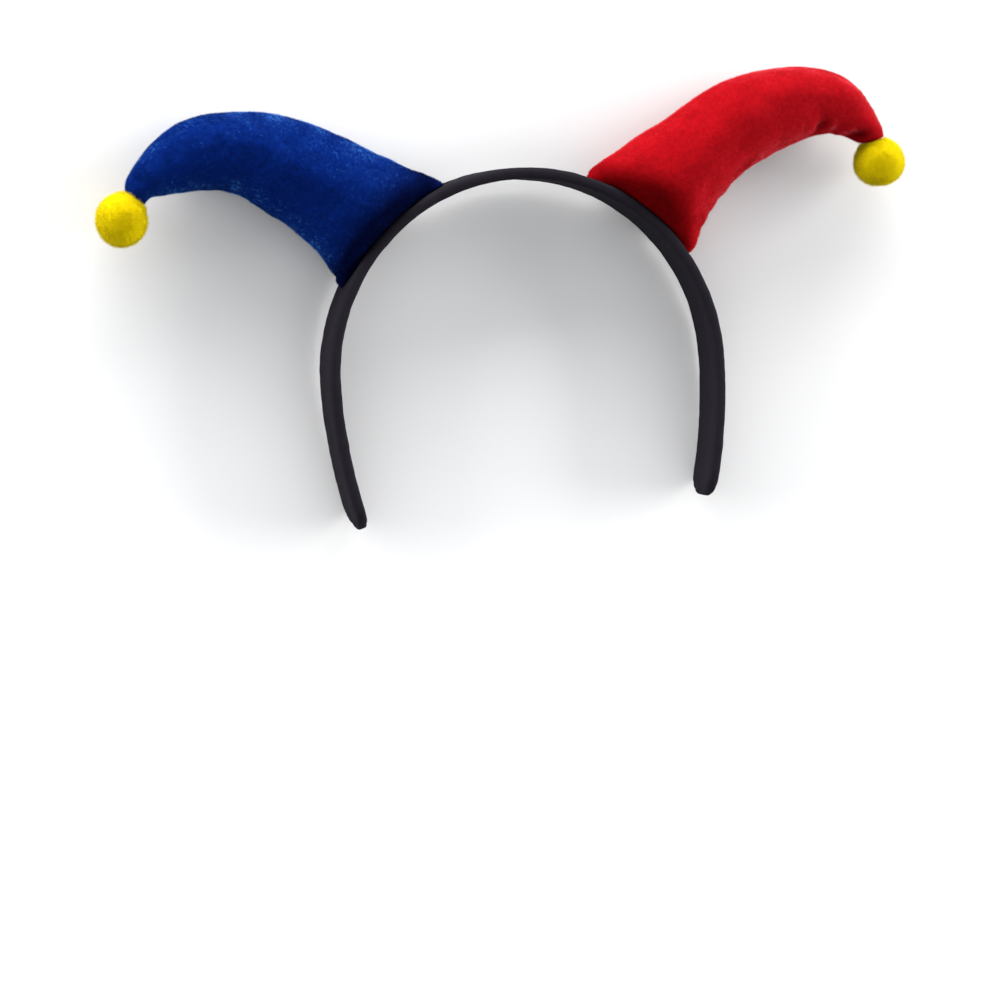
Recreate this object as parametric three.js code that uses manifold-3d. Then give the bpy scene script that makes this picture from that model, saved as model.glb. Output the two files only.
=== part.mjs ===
// Clown headband: a black cloth-covered band that carries a stuffed blue horn and a stuffed red horn,
// each with a yellow pompom at its tip. It lies on its back, with its front up.
// Millimetres, +Z up. Each shape is drawn with x across the head, y towards the crown and z towards
// the front of the band. The group at the end leans it onto the surface that it rests on.

import * as THREE from 'three';
import { mergeVertices } from 'three/addons/utils/BufferGeometryUtils.js';
import Module from 'manifold-3d';

const wasm = await Module();
wasm.setup();

const DEGREE = Math.PI / 180;
const gap = 0.3; // between pieces that are sewn or glued to each other

// The band
const bandRadius = 85; // outside of the crown's arc
const bandWidth = 25; // front to back
const bandThickness = 4.8; // strip, padding and cloth together
const bandEdge = 2; // rounding of the long edges
const legLength = 60; // from the end of the crown's arc to the free end
const legRadius = 220; // flatter curve of each leg
const endRadius = 10; // rounding of each free end
const endThinning = 0.4; // share of the thickness that is lost at a free end

// The horns
const hornDepth = 37; // front to back, where they are fullest
const seatDepth = 23; // front to back, where they are sewn to the band
const tipWidth = 10.5;
const bellyPress = 2.2; // how far the plush is pressed flat where it rests
const blueLength = 118.5; // along the middle
const blueWidth = 61.2; // along the band
const blueAngle = 40.25; // from the top of the crown to the middle of its seat
const redLength = 124;
const redWidth = 53.3;
const redAngle = 41.5;

// The pompoms
const bluePompom = 22.4; // diameter
const redPompom = 21.6;
const lockCount = 46; // tufts of yarn that make the outer form
const coreShare = 0.88; // radius of the ball under the tufts, as a share of the pompom's

// Colours
const blackCloth = 0x1c1a20;
const bluePlush = 0x0c3a94;
const redPlush = 0xc81a24;
const yellowYarn = 0xe0cc0a;

// Fineness
const crownSteps = 45; // an odd number, so that one facet lies level across the top
const legSteps = 6;
const endSteps = 5;
const cornerSteps = 2;
const hornSides = 28; // an even number, so that both seams lie on a corner
const ringsPerRow = 3;
const lockSides = 5;

// Sections of each horn, from its seat to its tip. out and side are where the middle lies, straight out
// from the band and along it towards the ear, as shares of the horn's length. wide and deep are shares of
// the horn's width and of its depth. wrap is how far the section still follows the curve of the band.
const blueSections = [
  { out: 0, side: 0, wide: 1, deep: seatDepth / hornDepth, wrap: 1 },
  { out: 0.03, side: 0.005, wide: 0.95, deep: 0.84, wrap: 0.8 },
  { out: 0.06, side: 0.015, wide: 0.86, deep: 0.94, wrap: 0.5 },
  { out: 0.138, side: 0.033, wide: 0.785, deep: 1, wrap: 0.15 },
  { out: 0.261, side: 0.058, wide: 0.7, deep: 1, wrap: 0 },
  { out: 0.376, side: 0.099, wide: 0.648, deep: 0.98, wrap: 0 },
  { out: 0.49, side: 0.153, wide: 0.577, deep: 0.94, wrap: 0 },
  { out: 0.571, side: 0.219, wide: 0.52, deep: 0.88, wrap: 0 },
  { out: 0.634, side: 0.303, wide: 0.462, deep: 0.79, wrap: 0 },
  { out: 0.668, side: 0.39, wide: 0.38, deep: 0.67, wrap: 0 },
  { out: 0.685, side: 0.459, wide: 0.3, deep: 0.54, wrap: 0 },
  { out: 0.691, side: 0.511, wide: 0.225, deep: 0.4, wrap: 0 },
  { out: 0.68, side: 0.556, wide: tipWidth / blueWidth, deep: tipWidth / hornDepth, wrap: 0 },
];
const redSections = [
  { out: 0, side: 0, wide: 1, deep: seatDepth / hornDepth, wrap: 1 },
  { out: 0.027, side: 0.002, wide: 1.04, deep: 0.84, wrap: 0.75 },
  { out: 0.06, side: 0.004, wide: 0.985, deep: 0.94, wrap: 0.5 },
  { out: 0.108, side: 0.009, wide: 0.88, deep: 1, wrap: 0.2 },
  { out: 0.205, side: 0.028, wide: 0.8, deep: 1, wrap: 0 },
  { out: 0.306, side: 0.052, wide: 0.73, deep: 0.99, wrap: 0 },
  { out: 0.407, side: 0.086, wide: 0.69, deep: 0.97, wrap: 0 },
  { out: 0.508, side: 0.14, wide: 0.645, deep: 0.92, wrap: 0 },
  { out: 0.591, side: 0.2, wide: 0.595, deep: 0.86, wrap: 0 },
  { out: 0.65, side: 0.262, wide: 0.535, deep: 0.77, wrap: 0 },
  { out: 0.692, side: 0.329, wide: 0.467, deep: 0.67, wrap: 0 },
  { out: 0.706, side: 0.389, wide: 0.39, deep: 0.56, wrap: 0 },
  { out: 0.704, side: 0.446, wide: 0.297, deep: 0.44, wrap: 0 },
  { out: 0.7025, side: 0.498, wide: 0.228, deep: 0.34, wrap: 0 },
  { out: 0.689, side: 0.518, wide: tipWidth / redWidth, deep: tipWidth / hornDepth, wrap: 0 },
];

// Dents and puckers in the plush. at and long are shares of the horn's length, and around and wide are
// degrees round the section, from the upper seam at 0 over the front at 90 to the lower seam at 180 and
// the back at 270. sink is the share of the section that the middle of the dent is pushed in.
const blueDents = [
  { at: 0.1, long: 0.05, around: 150, wide: 30, sink: 0.05 },
  { at: 0.6, long: 0.025, around: 180, wide: 32, sink: 0.07 },
  { at: 0.69, long: 0.02, around: 180, wide: 28, sink: 0.06 },
  { at: 0.9, long: 0.018, around: 45, wide: 40, sink: 0.08 },
];
const redDents = [
  { at: 0.13, long: 0.028, around: 180, wide: 34, sink: 0.08 },
  { at: 0.12, long: 0.045, around: 40, wide: 30, sink: 0.05 },
  { at: 0.31, long: 0.024, around: 180, wide: 30, sink: 0.05 },
  { at: 0.45, long: 0.022, around: 180, wide: 30, sink: 0.05 },
  { at: 0.7, long: 0.02, around: 160, wide: 34, sink: 0.11 },
  { at: 0.79, long: 0.018, around: 195, wide: 34, sink: 0.09 },
  { at: 0.93, long: 0.018, around: 80, wide: 45, sink: 0.1 },
];

// A tuft's profile from its root to its end, as shares of the pompom's radius.
const tuftProfile = [
  { across: 0, out: 0.4 },
  { across: 0.16, out: 0.6 },
  { across: 0.25, out: 0.92 },
  { across: 0, out: 1 },
];

// A closed body through rings of points that all have the same, even number of corners.
function loft(rings) {
  const corners = rings[0].length;
  const half = corners / 2;
  const faces = [];
  const quad = (a, b, c, d) => faces.push(a, b, c, a, c, d);
  for (let ring = 0; ring < rings.length - 1; ring++) {
    for (let i = 0; i < corners; i++) {
      const next = (i + 1) % corners;
      const here = ring * corners;
      quad(here + i, here + next, here + corners + next, here + corners + i);
    }
  }
  for (const [start, flip] of [[0, true], [(rings.length - 1) * corners, false]]) {
    const lid = (...ends) => faces.push(...(flip ? ends.reverse() : ends).map((i) => start + i));
    lid(0, 1, corners - 1);
    for (let i = 1; i < half - 1; i++) {
      lid(i, i + 1, corners - i - 1);
      lid(i, corners - i - 1, corners - i);
    }
    lid(half - 1, half, half + 1);
  }
  const points = rings.flat();
  if (volume(points, faces) < 0) faces.reverse();
  const geometry = new THREE.BufferGeometry();
  geometry.setAttribute('position', new THREE.Float32BufferAttribute(points.flatMap((p) => p.toArray()), 3));
  geometry.setIndex(faces);
  geometry.computeVertexNormals();
  return geometry;
}

function volume(points, faces) {
  const normal = new THREE.Vector3();
  let total = 0;
  for (let i = 0; i < faces.length; i += 3) {
    const [a, b, c] = [points[faces[i]], points[faces[i + 1]], points[faces[i + 2]]];
    total += a.dot(normal.crossVectors(b, c)) / 6;
  }
  return total;
}

// The band's middle line has this radius at the crown, and this length from the top to where a leg begins.
const middleRadius = bandRadius - bandThickness / 2;
const quarterArc = (middleRadius * Math.PI) / 2;

// The band's middle line at a distance along it from the top of the crown, with the way out of the head.
function bandPlace(distance) {
  const side = Math.sign(distance);
  if (Math.abs(distance) <= quarterArc) {
    const out = new THREE.Vector2(Math.sin(distance / middleRadius), Math.cos(distance / middleRadius));
    return { middle: out.clone().multiplyScalar(middleRadius), out };
  }
  const turn = (Math.abs(distance) - quarterArc) / legRadius;
  const out = new THREE.Vector2(side * Math.cos(turn), -Math.sin(turn));
  const middle = out.clone().multiplyScalar(legRadius);
  middle.x += side * (middleRadius - legRadius);
  return { middle, out };
}

// Distances of the band's sections from the top of the crown, from one free end to the other.
function bandDistances() {
  const right = [];
  for (let i = 1; i <= crownSteps; i += 2) right.push((quarterArc * i) / crownSteps);
  for (let i = 1; i < legSteps; i++) right.push(quarterArc + ((legLength - endRadius) * i) / legSteps);
  for (let i = 0; i <= endSteps; i++) {
    right.push(quarterArc + legLength - endRadius + endRadius * Math.sin((90 * DEGREE * i) / endSteps));
  }
  return [...right.map((distance) => -distance).reverse(), ...right];
}

// A strip section with rounded edges, as [outward, forward] pairs.
function bandSection(thickness, width) {
  const edge = Math.min(bandEdge, 0.45 * thickness); // leaves a flat between the rounded edges
  const section = [];
  for (const [outward, forward, start] of [[1, 1, 0], [-1, 1, 90], [-1, -1, 180], [1, -1, 270]]) {
    for (let i = 0; i <= cornerSteps; i++) {
      const angle = (start + (90 * i) / cornerSteps) * DEGREE;
      section.push([
        outward * (thickness / 2 - edge) + edge * Math.cos(angle),
        forward * (width / 2 - edge) + edge * Math.sin(angle),
      ]);
    }
  }
  return section;
}

function bandShape() {
  return loft(bandDistances().map((distance) => {
    const { middle, out } = bandPlace(distance);
    const toEnd = quarterArc + legLength - Math.abs(distance);
    const left = Math.min(toEnd / endRadius, 1); // 0 at a free end, 1 past its rounding
    const thickness = bandThickness * (1 - endThinning * (1 - left) ** 3);
    const width = bandWidth - 2 * endRadius * (1 - Math.sqrt(1 - (1 - left) ** 2));
    return bandSection(thickness, width).map(([outward, forward]) => {
      const point = middle.clone().addScaledVector(out, outward);
      return new THREE.Vector3(point.x, point.y, forward);
    });
  }));
}

// How the headband lies: it leans on the free ends of the band and on the bellies of the horns.
const bandGeometry = bandShape();
const lowestLeg = -bandPlace(quarterArc + legLength).middle.y;
const lean = Math.atan2(hornDepth / 2 - bellyPress - bandWidth / 2, bandRadius + lowestLeg);
const lift = -new THREE.Box3().setFromBufferAttribute(
  bandGeometry.getAttribute('position').clone().applyMatrix4(new THREE.Matrix4().makeRotationX(lean)),
).min.z;

// Presses a point of the plush flat against the surface that it rests on.
function settle(point) {
  const surface = -(lift + point.y * Math.sin(lean)) / Math.cos(lean);
  point.z = Math.max(point.z, surface);
  return point;
}

// A smooth value between the rows of one column. place 1.5 is halfway between rows 1 and 2.
function between(rows, column, place) {
  const row = Math.min(Math.floor(place), rows.length - 2);
  const t = place - row;
  const [b, c] = [rows[row][column], rows[row + 1][column]];
  const a = row > 0 ? rows[row - 1][column] : 2 * b - c;
  const d = row < rows.length - 2 ? rows[row + 2][column] : 2 * c - b;
  return b + 0.5 * t * (c - a + t * (2 * a - 5 * b + 4 * c - d + t * (3 * (b - c) + d - a)));
}

// The horn's sections in the plane of the band, with their middles, headings and sizes in millimetres.
function hornFrames({ side, length, width, angle, sections }) {
  const seatRadius = bandRadius + gap;
  const out = new THREE.Vector2(side * Math.sin(angle * DEGREE), Math.cos(angle * DEGREE));
  const across = new THREE.Vector2(side * out.y, -side * out.x);
  const seat = out.clone().multiplyScalar(seatRadius);
  const middleAt = (place) => seat.clone()
    .addScaledVector(out, length * between(sections, 'out', place))
    .addScaledVector(across, length * between(sections, 'side', place));
  const frames = [];
  const last = (sections.length - 1) * ringsPerRow;
  const nudge = 0.01; // of a row, to either side, for the heading
  for (let i = 0; i <= last; i++) {
    const place = i / ringsPerRow;
    const wrap = Math.max(between(sections, 'wrap', place), 0);
    const ahead = middleAt(Math.min(place + nudge, sections.length - 1));
    const behind = middleAt(Math.max(place - nudge, 0));
    const heading = ahead.sub(behind).normalize().lerp(out, wrap).normalize();
    frames.push({
      middle: middleAt(place),
      heading,
      upper: new THREE.Vector2(-side * heading.y, side * heading.x),
      halfWidth: (width / 2) * between(sections, 'wide', place),
      halfDepth: (hornDepth / 2) * between(sections, 'deep', place),
      bend: Math.asin(width / 2 / seatRadius) * wrap,
    });
  }
  let along = 0;
  frames.forEach((frame, i) => {
    if (i > 0) along += frame.middle.distanceTo(frames[i - 1].middle);
    frame.along = along;
  });
  return frames;
}

// How much of the section's size is left at one spot, with the dents pushed in.
function dented(dents, share, degrees) {
  return dents.reduce((left, dent) => {
    const round = (((degrees - dent.around) % 360) + 540) % 360 - 180;
    const near = ((share - dent.at) / dent.long) ** 2 + (round / dent.wide) ** 2;
    return left - dent.sink * Math.exp(-near);
  }, 1);
}

function hornShape(horn) {
  const frames = hornFrames(horn);
  const total = frames.at(-1).along;
  return loft(frames.map(({ middle, heading, upper, halfWidth, halfDepth, bend, along }, ring) => {
    const points = [];
    for (let i = 0; i < hornSides; i++) {
      const degrees = (360 * i) / hornSides;
      const size = ring === 0 ? 1 : dented(horn.dents, along / total, degrees);
      const x = Math.cos(degrees * DEGREE) * size;
      const curl = bend > 0 ? Math.tan((bend * Math.abs(x)) / 2) : 0;
      const reach = bend > 0 ? Math.sin(bend * x) / Math.sin(bend) : x;
      const point = middle.clone()
        .addScaledVector(upper, halfWidth * reach)
        .addScaledVector(heading, -halfWidth * Math.abs(reach) * curl);
      points.push(settle(new THREE.Vector3(point.x, point.y, halfDepth * Math.sin(degrees * DEGREE) * size)));
    }
    return points;
  }));
}

// A closed three.js shape as a solid that can be joined and cut, and back.
function solidOf(geometry) {
  const bare = geometry.clone();
  bare.deleteAttribute('normal');
  bare.deleteAttribute('uv');
  const merged = mergeVertices(bare.index ? bare.toNonIndexed() : bare, 1e-4);
  return new wasm.Manifold(new wasm.Mesh({
    numProp: 3,
    vertProperties: new Float32Array(merged.getAttribute('position').array),
    triVerts: new Uint32Array(merged.index.array),
  }));
}

function geometryOf(solid) {
  const { vertProperties, triVerts, numProp } = solid.getMesh();
  const geometry = new THREE.BufferGeometry();
  geometry.setAttribute('position', new THREE.BufferAttribute(vertProperties, numProp));
  geometry.setIndex(new THREE.BufferAttribute(triVerts, 1));
  geometry.computeVertexNormals();
  return geometry;
}

// A dense ball of yarn tufts, flat where the horn's tip is sewn to it. seatWay points to the tip.
function pompomShape(diameter, seatWay) {
  const radius = diameter / 2;
  const profile = tuftProfile.map(({ across, out }) => new THREE.Vector2(radius * across, radius * out));
  const tuft = new THREE.LatheGeometry(profile, lockSides);
  let ball = solidOf(new THREE.IcosahedronGeometry(radius * coreShare, 1));
  const spiral = Math.PI * (3 - Math.sqrt(5)); // the golden angle, which spreads the tufts evenly
  for (let i = 0; i < lockCount; i++) {
    const height = 1 - (2 * i + 1) / lockCount;
    const ring = Math.sqrt(1 - height * height);
    const way = new THREE.Vector3(ring * Math.cos(spiral * i), ring * Math.sin(spiral * i), height);
    const turn = new THREE.Quaternion().setFromUnitVectors(new THREE.Vector3(0, 1, 0), way);
    ball = ball.add(solidOf(tuft.clone().applyQuaternion(turn)));
  }
  const slab = new THREE.BoxGeometry(diameter, diameter, diameter).translate(0, radius + tipSeat(diameter), 0);
  const lay = new THREE.Quaternion().setFromUnitVectors(new THREE.Vector3(0, 1, 0), seatWay);
  return geometryOf(ball.subtract(solidOf(slab.applyQuaternion(lay))));
}

// From a pompom's centre to its flat, which is as wide as the tip.
function tipSeat(diameter) {
  return Math.sqrt((diameter / 2) ** 2 - (tipWidth / 2) ** 2);
}

function cloth(colour, roughness) {
  return new THREE.MeshStandardMaterial({ color: colour, roughness, metalness: 0 });
}

function named(name, geometry, material) {
  const mesh = new THREE.Mesh(geometry, material);
  mesh.name = name;
  return mesh;
}

const headband = new THREE.Group();
headband.add(named('band', bandGeometry, cloth(blackCloth, 0.8)));

const horns = [
  {
    name: 'blue', side: -1, length: blueLength, width: blueWidth, angle: blueAngle,
    sections: blueSections, dents: blueDents, colour: bluePlush, pompom: bluePompom,
  },
  {
    name: 'red', side: 1, length: redLength, width: redWidth, angle: redAngle,
    sections: redSections, dents: redDents, colour: redPlush, pompom: redPompom,
  },
];
for (const horn of horns) {
  headband.add(named(`horn_${horn.name}`, hornShape(horn), cloth(horn.colour, 0.9)));
  const tip = hornFrames(horn).at(-1);
  const heading = new THREE.Vector3(tip.heading.x, tip.heading.y, 0);
  const ball = pompomShape(horn.pompom, heading.clone().negate());
  const pompom = named(`pompom_${horn.name}_tip`, ball, cloth(yellowYarn, 1));
  pompom.position.set(tip.middle.x, tip.middle.y, 0).addScaledVector(heading, tipSeat(horn.pompom) + gap);
  headband.add(pompom);
}

// Lies on the surface, with the origin under the middle of it.
const lying = new THREE.Group();
headband.rotation.x = lean;
headband.position.z = lift;
lying.add(headband);
lying.updateMatrixWorld(true);
const box = new THREE.Box3().setFromObject(lying, true);
lying.position.set(-(box.min.x + box.max.x) / 2, -(box.min.y + box.max.y) / 2, 0);

export default lying;
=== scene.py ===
"""A clown headband lying on its back, front up: a black cloth-covered band, a blue and a red stuffed plush
horn sewn to it, and a yellow pompom at the tip of each horn.

Shapes are worked out in millimetres, with x across the head, y towards the crown and z towards the front of
the band. mesh_piece() leans them onto the surface and turns them into metres.
"""

import math
from dataclasses import dataclass

import bpy
import numpy as np
from mathutils import Matrix, Vector


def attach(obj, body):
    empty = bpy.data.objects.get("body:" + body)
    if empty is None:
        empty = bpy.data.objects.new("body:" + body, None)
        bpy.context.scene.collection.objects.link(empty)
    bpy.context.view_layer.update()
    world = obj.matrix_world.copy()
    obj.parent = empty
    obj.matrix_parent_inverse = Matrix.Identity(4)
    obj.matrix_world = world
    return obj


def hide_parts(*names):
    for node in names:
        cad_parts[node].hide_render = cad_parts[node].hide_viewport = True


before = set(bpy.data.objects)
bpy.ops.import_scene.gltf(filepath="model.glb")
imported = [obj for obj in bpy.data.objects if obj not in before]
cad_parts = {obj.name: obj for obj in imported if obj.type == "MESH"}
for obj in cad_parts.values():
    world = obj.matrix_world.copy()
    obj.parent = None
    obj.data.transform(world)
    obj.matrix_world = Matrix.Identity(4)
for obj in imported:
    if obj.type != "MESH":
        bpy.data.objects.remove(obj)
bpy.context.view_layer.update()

MM = 0.001
GAP = 0.3  # between pieces that are sewn or glued to each other

# The band
BAND_RADIUS = 85.0
BAND_WIDTH = 25.0
BAND_THICKNESS = 4.8
BAND_EDGE = 2.0
LEG_LENGTH = 60.0
LEG_RADIUS = 220.0
END_RADIUS = 10.0
END_THINNING = 0.4
MIDDLE_RADIUS = BAND_RADIUS - BAND_THICKNESS / 2
QUARTER_ARC = MIDDLE_RADIUS * math.pi / 2

# The horns and pompoms
HORN_DEPTH = 37.0
SEAT_DEPTH = 23.0
TIP_WIDTH = 10.5
BELLY_PRESS = 2.2
TUFT_COUNT = 46

# Columns of a section: out, side, wide, deep, wrap
BLUE_WIDTH = 61.2
BLUE_SECTIONS = [
    (0, 0, 1, SEAT_DEPTH / HORN_DEPTH, 1),
    (0.03, 0.005, 0.95, 0.84, 0.8),
    (0.06, 0.015, 0.86, 0.94, 0.5),
    (0.138, 0.033, 0.785, 1, 0.15),
    (0.261, 0.058, 0.7, 1, 0),
    (0.376, 0.099, 0.648, 0.98, 0),
    (0.49, 0.153, 0.577, 0.94, 0),
    (0.571, 0.219, 0.52, 0.88, 0),
    (0.634, 0.303, 0.462, 0.79, 0),
    (0.668, 0.39, 0.38, 0.67, 0),
    (0.685, 0.459, 0.3, 0.54, 0),
    (0.691, 0.511, 0.225, 0.4, 0),
    (0.68, 0.556, TIP_WIDTH / BLUE_WIDTH, TIP_WIDTH / HORN_DEPTH, 0),
]
RED_WIDTH = 53.3
RED_SECTIONS = [
    (0, 0, 1, SEAT_DEPTH / HORN_DEPTH, 1),
    (0.027, 0.002, 1.04, 0.84, 0.75),
    (0.06, 0.004, 0.985, 0.94, 0.5),
    (0.108, 0.009, 0.88, 1, 0.2),
    (0.205, 0.028, 0.8, 1, 0),
    (0.306, 0.052, 0.73, 0.99, 0),
    (0.407, 0.086, 0.69, 0.97, 0),
    (0.508, 0.14, 0.645, 0.92, 0),
    (0.591, 0.2, 0.595, 0.86, 0),
    (0.65, 0.262, 0.535, 0.77, 0),
    (0.692, 0.329, 0.467, 0.67, 0),
    (0.706, 0.389, 0.39, 0.56, 0),
    (0.704, 0.446, 0.297, 0.44, 0),
    (0.7025, 0.498, 0.228, 0.34, 0),
    (0.689, 0.518, TIP_WIDTH / RED_WIDTH, TIP_WIDTH / HORN_DEPTH, 0),
]

# Columns of a dent: at, long, around, wide, sink. A sink below 0 is a swelling.
BLUE_DENTS = [
    (0.1, 0.05, 150, 30, 0.03),
    (0.9, 0.018, 45, 40, 0.04),
    (0.2, 0.1, 0, 60, -0.025),
    (0.45, 0.1, 0, 60, -0.035),
    (0.82, 0.13, 0, 60, -0.07),
    (0.07, 0.045, 180, 40, -0.065),
    (0.6, 0.05, 180, 40, -0.03),
    (1.0, 0.03, 0, 400, 0.13),
]
RED_DENTS = [
    (0.12, 0.045, 40, 30, 0.03),
    (0.735, 0.022, 140, 22, 0.09),
    (0.93, 0.022, 140, 30, 0.12),
    (0.5, 0.14, 0, 60, -0.04),
    (0.76, 0.09, 0, 60, -0.08),
    (0.935, 0.032, 0, 60, -0.19),
    (1.0, 0.03, 0, 400, 0.15),
    (0.12, 0.04, 180, 40, -0.04),
    (0.3, 0.03, 180, 30, -0.02),
]

# Columns of a crease in the plush: at (share of the length), around (degrees), reach (degrees), width and
# depth (mm). The pile along a crease takes painted shade, more for a deeper one.
BLUE_CREASES = [
    (0.93, 75, 40, 2.4, 0.35),
    (0.03, 25, 30, 1.8, 0.6),
    (0.045, 330, 26, 1.8, 0.5),
    (0.05, 140, 22, 1.8, 0.4),
]
RED_CREASES = [
    (0.75, 142, 20, 3.0, 0.6),
    (0.62, 215, 26, 2.4, 0.5),
    (0.935, 140, 38, 3.0, 1.0),
    (0.03, 25, 26, 1.8, 0.6),
    (0.165, 180, 24, 2.2, 0.35),
    (0.225, 180, 24, 2.4, 0.4),
    (0.3, 180, 24, 2.8, 0.4),
]

# Plush
SKIN_INSET = 0.25  # how far the backing lies under the ends of the pile
PILE_LENGTH = 1.0
PILE_WIDTH = 0.17
PILE_LEAN = 46  # degrees from upright, towards the tip
PILE_LEAN_SPREAD = 12  # degrees
PILE_STRAY = 0.4  # radians to either side of the brushed way
PILE_ROOT_DEPTH = 0.12  # how far the hairs start under the backing
PILE_COUNT = 165_000
# Columns of the nap's unevenness, which tilts the shading of the hairs: size in mm, strength, seed
NAP = [(1.3, 0.12, 76), (2.6, 0.13, 89), (6, 0.05, 123)]
SEAT_DARKEST = 0.92  # the share of its tone that painted shade takes from the pile there, next to the band
SEAT_FADE = 19.0  # mm along the horn over which the seat's painted shade ends
SEAM_DEPTH = 0.35
SEAM_WIDTH = 0.8
SEAM_RIDGE = (0.15, 2.2, 1.4)  # its height, its distance from the seam and its width
PUCKER_PITCH = 9.0
STUFFING_CAP = 1.4  # how far the simulated stuffing may push the plush out
STUFFING_SWELL = 0.7  # how much smaller each panel starts, so that the stuffing fills it to its size
STUFFING_FRAMES = 20
# Columns of the stuffing's lumps: size in mm, height, seed
LUMPS = [(26, 0.22, 0), (10, 0.06, 1), (3.5, 0.015, 2)]
RINGS = 97  # of the horn's skin before it is refined
SIDES = 96

# Pompoms
FIBRE_COUNT = 55_000
FIBRE_WIDTH = 0.17
FIBRE_ROOT = 0.8  # share of the pompom's radius, as the two below
FIBRE_REACH = 0.95  # of the shortest ends
CORE_DEPTH = 0.07  # how far the core lies under the pompom's form
FIBRE_TURN = 0.75  # how much the shading of one yarn end differs from the next

# Fineness of the band
CORNER_STEPS = 7
FACE_STEPS = 14
BAND_STEP = 1.3  # mm along it
END_STEPS = 22
WEAVE_PITCH = 0.55  # mm between threads

# Camera and lights, in metres and degrees where nothing else is said
CAMERA_DISTANCE = 1.5
CAMERA_YAW = 14.0  # to the side of the band's front
CAMERA_PITCH = 3.0  # above the band's front
CAMERA_ROLL = 4.3
PHOTO_SIDE = 1000  # pixels
PHOTO_SCALE = 0.42  # mm to a pixel
BAND_CENTRE_PIXEL = (523.4, 371.1)
SENSOR = 36.0  # mm
FLOOR_SIDE = 8.0
FLOOR_DROP = 0.0001  # how far the floor lies under the headband


def unit(vectors):
    return vectors / np.linalg.norm(vectors, axis=-1, keepdims=True)


def ripple(points, size, seed, waves=28):
    """Smooth random unevenness of about that size in mm, around 0, with a spread of 1."""
    draw = np.random.default_rng(seed)
    ways = unit(draw.normal(size=(waves, 3)))
    ways *= 2 * math.pi / (size * draw.uniform(0.75, 1.5, (waves, 1)))
    phases = draw.uniform(0, 2 * math.pi, waves)
    total = sum(np.cos(points @ way + phase) for way, phase in zip(ways, phases))
    return total * math.sqrt(2 / waves)


def fade(values, start, end):
    """From 0 at start to 1 at end, smoothly."""
    share = np.clip((values - start) / (end - start), 0, 1)
    return share * share * (3 - 2 * share)


# How the headband lies: it leans on the free ends of the band and on the bellies of the horns.
LEG_DROP = LEG_RADIUS * math.sin(LEG_LENGTH / LEG_RADIUS)
LEAN = math.atan2(HORN_DEPTH / 2 - BELLY_PRESS - BAND_WIDTH / 2, BAND_RADIUS + LEG_DROP)
LEANING = np.array(Matrix.Rotation(LEAN, 3, "X"))


def band_origin():
    """Where the centre of the crown's arc lies in the row's frame, in mm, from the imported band."""
    corners = np.array([vertex.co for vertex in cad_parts["band"].data.vertices]) / MM @ LEANING
    low, high = corners.min(0), corners.max(0)
    return LEANING @ np.array([(low[0] + high[0]) / 2, high[1] - BAND_RADIUS, (low[2] + high[2]) / 2])


ORIGIN = band_origin()


def lay(points):
    """Points of the band's frame in the row's frame, still in mm."""
    return points @ LEANING.T + ORIGIN


def above_surface(points, clearance=0.0):
    """The same points of the band's frame, with those under the surface lifted up to it."""
    laid = lay(points)
    laid[..., 2] = np.maximum(laid[..., 2], clearance)
    return (laid - ORIGIN) @ LEANING


def mesh_piece(name, points, faces, material, normals=None, shade=None, uvs=None, second=None):
    """A piece that rides on the headband. faces is a list of arrays, each of faces with as many corners.
    second is a second material and which faces take it."""
    mesh = bpy.data.meshes.new(name)
    corners = np.concatenate([np.asarray(part).ravel() for part in faces]).astype(np.int32)
    sizes = np.concatenate([np.full(len(part), np.shape(part)[1]) for part in faces])
    mesh.vertices.add(len(points))
    mesh.vertices.foreach_set("co", (lay(points) * MM).ravel())
    mesh.loops.add(len(corners))
    mesh.loops.foreach_set("vertex_index", corners)
    mesh.polygons.add(len(sizes))
    mesh.polygons.foreach_set("loop_start", np.concatenate([[0], np.cumsum(sizes)[:-1]]).astype(np.int32))
    mesh.polygons.foreach_set("use_smooth", np.ones(len(sizes), bool))
    if shade is not None:
        mesh.attributes.new("shade", "FLOAT", "POINT").data.foreach_set("value", shade.ravel())
    if uvs is not None:
        mesh.uv_layers.new(name="cloth").data.foreach_set("uv", uvs[corners].ravel())
    mesh.update(calc_edges=True)
    if normals is not None:
        mesh.normals_split_custom_set_from_vertices(normals @ LEANING.T)
    mesh.materials.append(material)
    if second is not None:
        mesh.materials.append(second[0])
        mesh.polygons.foreach_set("material_index", second[1].astype(np.int32))
    piece = bpy.data.objects.new(name, mesh)
    bpy.context.scene.collection.objects.link(piece)
    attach(piece, "root")
    return piece


def tube_faces(rings, corners):
    """The four-sided faces between rings of points, each with the same number of corners."""
    here = np.arange(rings - 1)[:, None] * corners
    i = np.arange(corners)[None, :]
    after = (i + 1) % corners
    return np.stack([here + i, here + after, here + corners + after, here + corners + i], -1).reshape(-1, 4)


def lid_faces(first, corners, flip):
    """Strips across a ring, each between one side of it and the other."""
    half = corners // 2
    quads = [
        (first + i, first + i + 1, first + corners - i - 1, first + corners - i)
        for i in range(1, half - 1)
    ]
    ends = [(first, first + 1, first + corners - 1), (first + half - 1, first + half, first + half + 1)]
    turn = slice(None, None, -1) if flip else slice(None)
    return np.array(quads)[:, turn], np.array(ends)[:, turn]


def between(column, place):
    """A smooth value between the rows of a column. place 1.5 is halfway between rows 1 and 2."""
    column = np.asarray(column, float)
    row = np.minimum(place.astype(int), len(column) - 2)
    t = place - row
    ends = [[2 * column[0] - column[1]], column, [2 * column[-1] - column[-2]]]
    a, b, c, d = (np.concatenate(ends)[row + i] for i in range(4))
    return b + 0.5 * t * (c - a + t * (2 * a - 5 * b + 4 * c - d + t * (3 * (b - c) + d - a)))


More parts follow.
